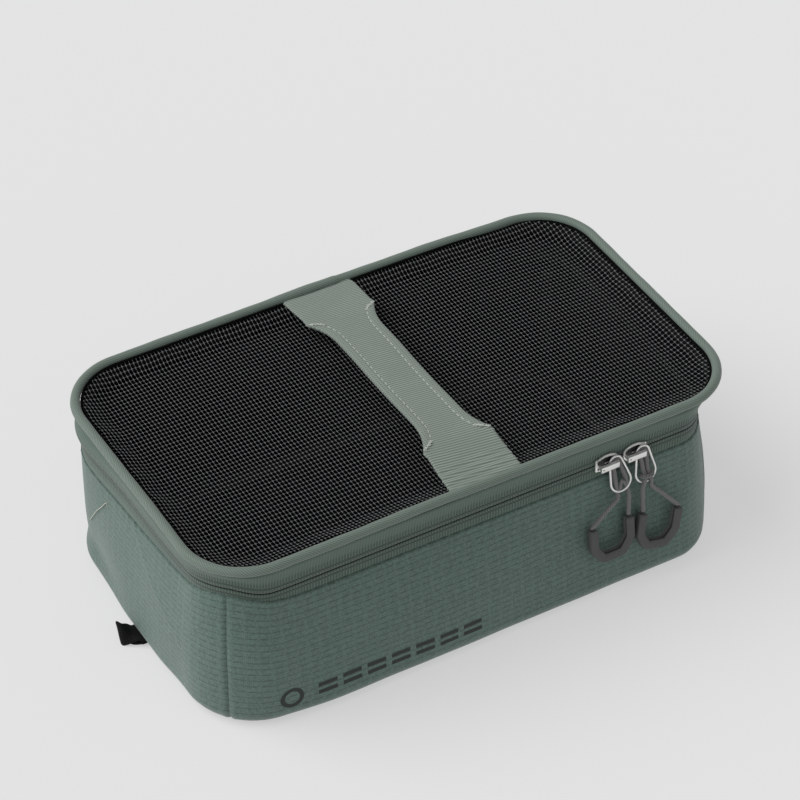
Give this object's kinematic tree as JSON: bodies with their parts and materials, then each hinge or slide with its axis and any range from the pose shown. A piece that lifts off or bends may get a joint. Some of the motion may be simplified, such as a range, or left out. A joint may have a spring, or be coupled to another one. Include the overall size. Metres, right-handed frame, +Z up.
{
  "type": "packing cube",
  "caption": "Soft rectangular packing cube for clothes, with a zip-round mesh lid, webbing carry handle, corded zipper pulls and a small side loop.",
  "frame": {"origin": "centre of the footprint, on the surface the cube stands on", "axes": "+X along the length towards the end where the zipper pulls are parked, +Z up, -Y the front with the zipper pulls, +Y the back with the lid's fabric hinge"},
  "size_m": [0.3165, 0.1878, 0.1097],
  "materials": {
    "wall_fabric": "two-tone hexagon ripstop weave, matt",
    "binding_tape": "plain woven binding tape, matt",
    "zipper_tape": "ribbed knitted zipper tape, matt",
    "zipper_coil": "moulded coil, slight sheen",
    "mesh": "open square net of stiff yarn, slight glints",
    "piping_fabric": "bias-cut plain weave drawn tight over a cord",
    "piping_core": "smooth extruded cord",
    "handle_webbing": "fine ribbed webbing, matt",
    "thread": "sewing thread",
    "plated_metal": "nickel plate, bright with worn edges",
    "pull_cord": "braided round cord",
    "pull_grip": "soft moulded grip, matt",
    "loop_webbing": "ribbed webbing, matt"
  },
  "bodies": {
    "body": {"bottom_panel": "wall_fabric", "front_panel": "wall_fabric", "back_panel": "wall_fabric", "left_panel": "wall_fabric", "right_panel": "wall_fabric", "bottom_seam_binding": "binding_tape", "seam_binding_back_right": "binding_tape", "seam_binding_back_left": "binding_tape", "seam_binding_front_left": "binding_tape", "seam_binding_front_right": "binding_tape", "lower_zipper_tape": "zipper_tape", "lower_zipper_coil": "zipper_coil", "hinge_strip_lower": "wall_fabric", "zipper_end_tab_left": "zipper_tape", "zipper_end_tab_right": "zipper_tape"},
    "lid": {"mesh_panel": "mesh", "piping_cord": "piping_core", "piping_cover": "piping_fabric", "rim_seam_binding": "binding_tape", "upper_zipper_tape": "zipper_tape", "upper_zipper_coil": "zipper_coil", "hinge_strip_upper": "wall_fabric", "handle_webbing": "handle_webbing", "handle_bartacks": "thread"},
    "slider_left": {"slider_body_left": "plated_metal", "slider_crown_left": "plated_metal"},
    "ring_left": {"pull_ring_left": "plated_metal", "pull_cord_hitch_left": "pull_cord"},
    "pull_left": {"pull_cord_legs_left": "pull_cord", "pull_grip_left": "pull_grip"},
    "slider_right": {"slider_body_right": "plated_metal", "slider_crown_right": "plated_metal"},
    "ring_right": {"pull_ring_right": "plated_metal", "pull_cord_hitch_right": "pull_cord"},
    "pull_right": {"pull_cord_legs_right": "pull_cord", "pull_grip_right": "pull_grip"},
    "side_loop": {"side_loop": "loop_webbing"}
  },
  "joints": [
    {"name": "lid_hinge", "type": "hinge", "parent": "body", "child": "lid", "pos_m": [0, 0.0903, 0.083], "axis": [-1, 0, 0], "range_deg": [0, 180]},
    {"name": "slider_left_travel", "type": "slide", "parent": "body", "child": "slider_left", "axis": [1, 0, 0], "range_m": [-0.18, 0]},
    {"name": "slider_right_travel", "type": "slide", "parent": "body", "child": "slider_right", "axis": [1, 0, 0], "range_m": [0, 0.022]},
    {"name": "ring_left_swing", "type": "hinge", "parent": "slider_left", "child": "ring_left", "pos_m": [0.075, -0.0864, 0.0824], "axis": [0, 0.9816, -0.1908], "range_deg": [0, 35]},
    {"name": "ring_right_swing", "type": "hinge", "parent": "slider_right", "child": "ring_right", "pos_m": [0.091, -0.0864, 0.0824], "axis": [0, -0.9816, 0.1908], "range_deg": [0, 35]},
    {"name": "pull_left_lift", "type": "hinge", "parent": "ring_left", "child": "pull_left", "pos_m": [0.07809, -0.08975, 0.06519], "axis": [-1, 0, 0], "range_deg": [0, 100]},
    {"name": "pull_right_lift", "type": "hinge", "parent": "ring_right", "child": "pull_right", "pos_m": [0.09224, -0.08979, 0.06497], "axis": [-1, 0, 0], "range_deg": [0, 100]},
    {"name": "side_loop_flip", "type": "hinge", "parent": "body", "child": "side_loop", "pos_m": [-0.1529, 0, 0.0038], "axis": [0, 1, 0], "range_deg": [0, 40]}
  ]
}
